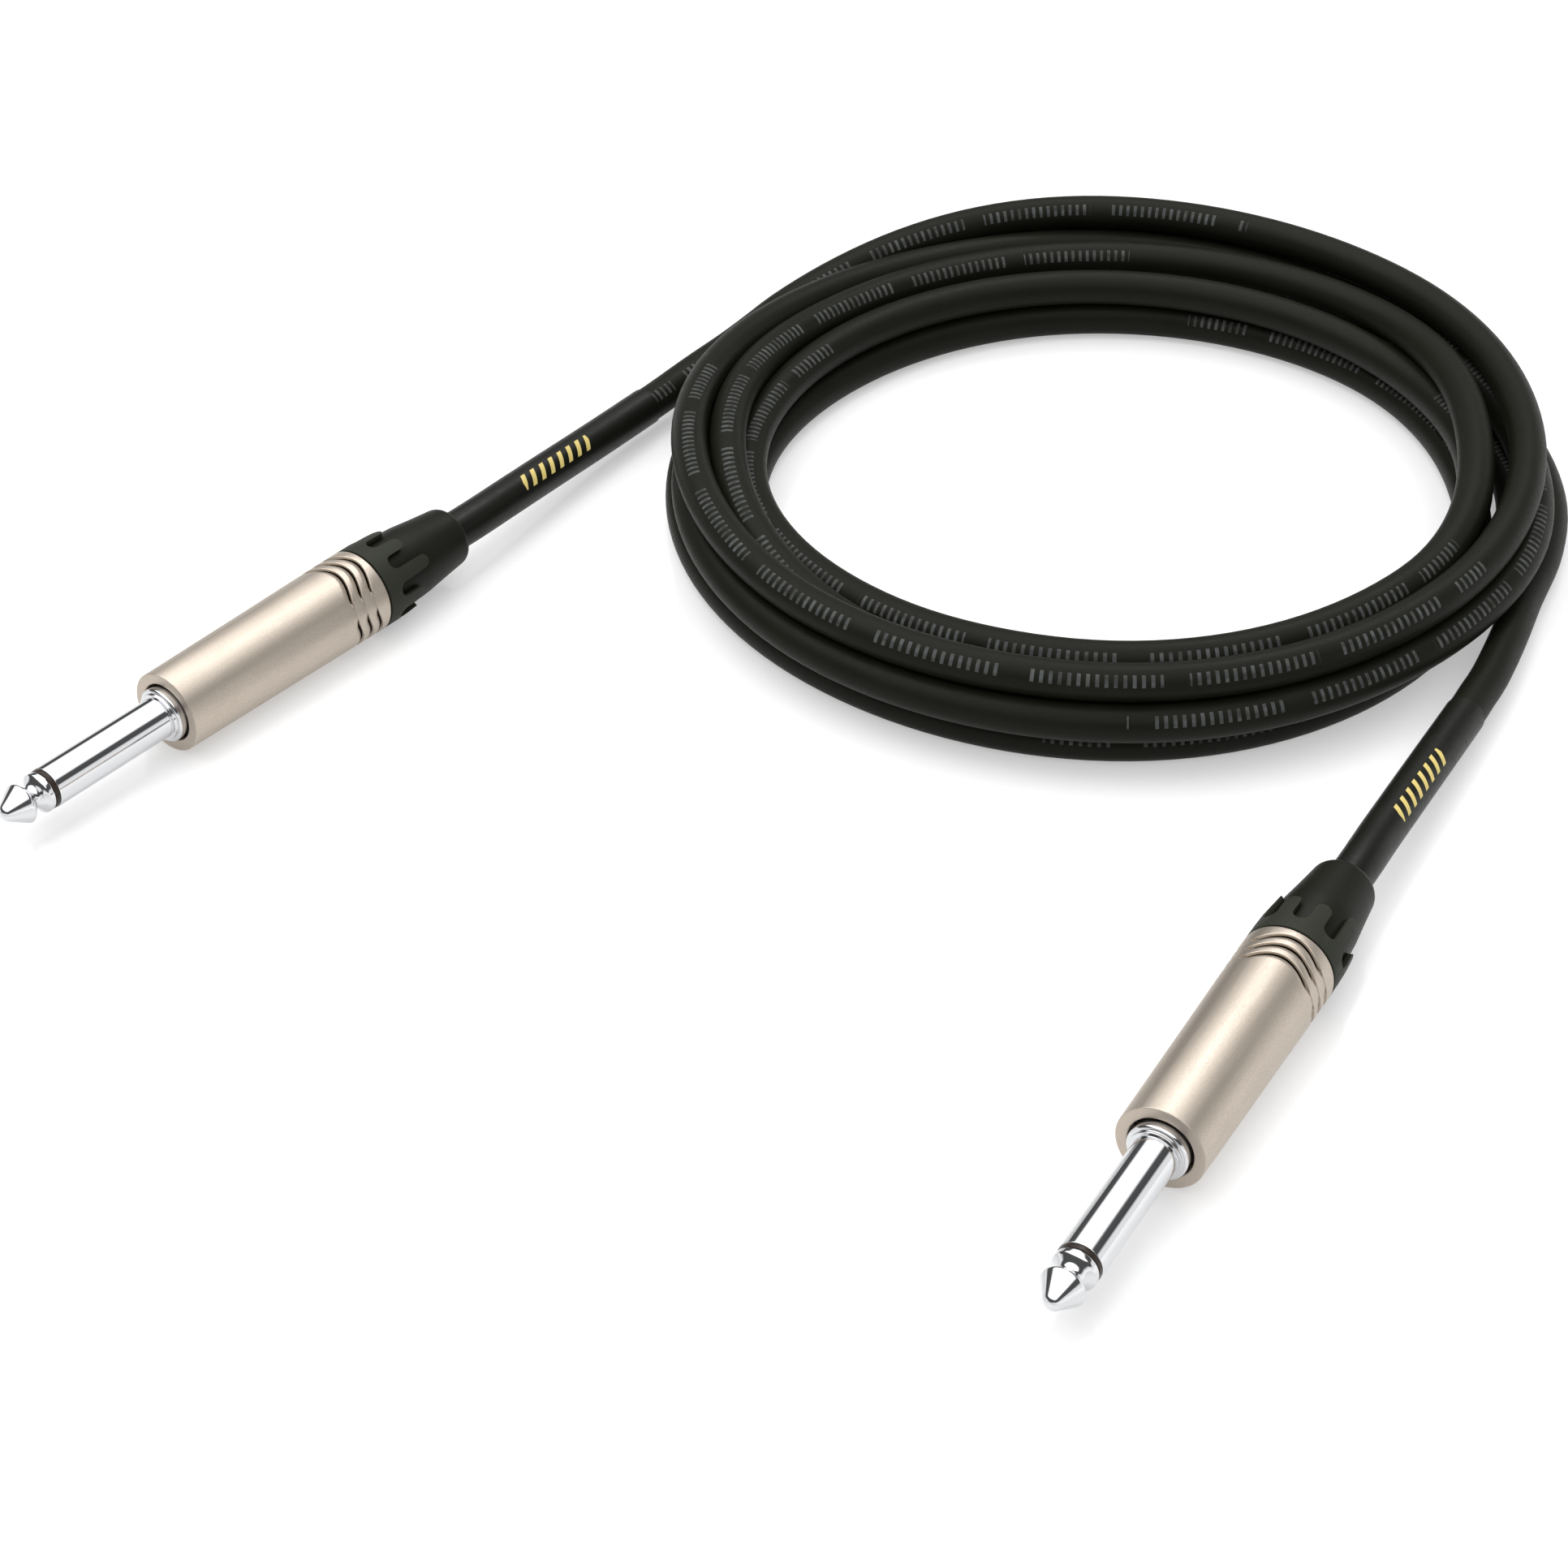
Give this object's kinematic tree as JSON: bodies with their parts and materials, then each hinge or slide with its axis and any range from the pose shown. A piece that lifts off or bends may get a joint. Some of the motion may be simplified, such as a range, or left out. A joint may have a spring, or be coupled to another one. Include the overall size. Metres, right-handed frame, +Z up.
{
  "type": "instrument cable",
  "caption": "Coiled instrument cable with a straight two-contact 6.35 mm jack plug on each end; each screw-on boot turns off its metal barrel.",
  "frame": {"origin": "on the plane that the cable lies on, at the middle of the box around the two plugs", "axes": "+Z up from that plane; both plugs point their tips towards -Y, plug a at -X and plug b at +X, with the coil behind them towards +Y"},
  "size_m": [0.238, 0.2616, 0.0178],
  "materials": {
    "contact_plating": "polished",
    "contact_insulation": "dark moulded plastic",
    "solder_lug": "tinned brass",
    "barrel_nickel": "warm satin nickel plating",
    "chuck_nylon": "moulded nylon",
    "boot_nylon": "fine-grained moulded nylon",
    "gland_rubber": "smooth soft plastic",
    "cable_jacket": "matt flexible jacket",
    "shrink_sleeve": "shrink tube with a small printed gold mark",
    "core_insulation": "translucent white",
    "bare_copper": "bright stranded copper"
  },
  "bodies": {
    "root": {"tip_contact_a": "contact_plating", "front_insulator_a": "contact_insulation", "sleeve_contact_a": "contact_plating", "ground_lug_a": "solder_lug", "rear_insulator_a": "contact_insulation", "tip_lug_a": "solder_lug", "barrel_shell_a": "barrel_nickel", "cable_end_a": "cable_jacket", "core_lead_a": "core_insulation", "core_conductor_a": "bare_copper", "shield_lead_a": "bare_copper", "label_sleeve_a": "shrink_sleeve", "cable_tail_a": "cable_jacket", "tip_contact_b": "contact_plating", "front_insulator_b": "contact_insulation", "sleeve_contact_b": "contact_plating", "ground_lug_b": "solder_lug", "rear_insulator_b": "contact_insulation", "tip_lug_b": "solder_lug", "barrel_shell_b": "barrel_nickel", "cable_end_b": "cable_jacket", "core_lead_b": "core_insulation", "core_conductor_b": "bare_copper", "shield_lead_b": "bare_copper", "label_sleeve_b": "shrink_sleeve", "cable_tail_b": "cable_jacket", "cable_coil": "cable_jacket"},
    "clamp_a": {"chuck_a": "chuck_nylon"},
    "boot_a": {"boot_nut_a": "boot_nylon", "boot_gland_a": "gland_rubber"},
    "clamp_b": {"chuck_b": "chuck_nylon"},
    "boot_b": {"boot_nut_b": "boot_nylon", "boot_gland_b": "gland_rubber"}
  },
  "joints": [
    {"name": "boot_travel_a", "type": "slide", "parent": "root", "child": "clamp_a", "axis": [0.6333, 0.7738, 0.012], "range_m": [0, 0.005]},
    {"name": "boot_turn_a", "type": "hinge", "parent": "clamp_a", "child": "boot_a", "pos_m": [-0.0466, 0.07122, 0.00686], "axis": [0.6333, 0.7738, 0.012], "range_deg": [0, 1800]},
    {"name": "boot_travel_b", "type": "slide", "parent": "root", "child": "clamp_b", "axis": [0.4909, 0.8712, 0.012], "range_m": [0, 0.005]},
    {"name": "boot_turn_b", "type": "hinge", "parent": "clamp_b", "child": "boot_b", "pos_m": [0.08469, -0.0184, 0.00686], "axis": [0.4909, 0.8712, 0.012], "range_deg": [0, 1800]}
  ],
  "couplings": [
    {"joint": "boot_turn_a", "follows": "boot_travel_a", "rad_per_m": 6283.2},
    {"joint": "boot_turn_b", "follows": "boot_travel_b", "rad_per_m": 6283.2}
  ]
}
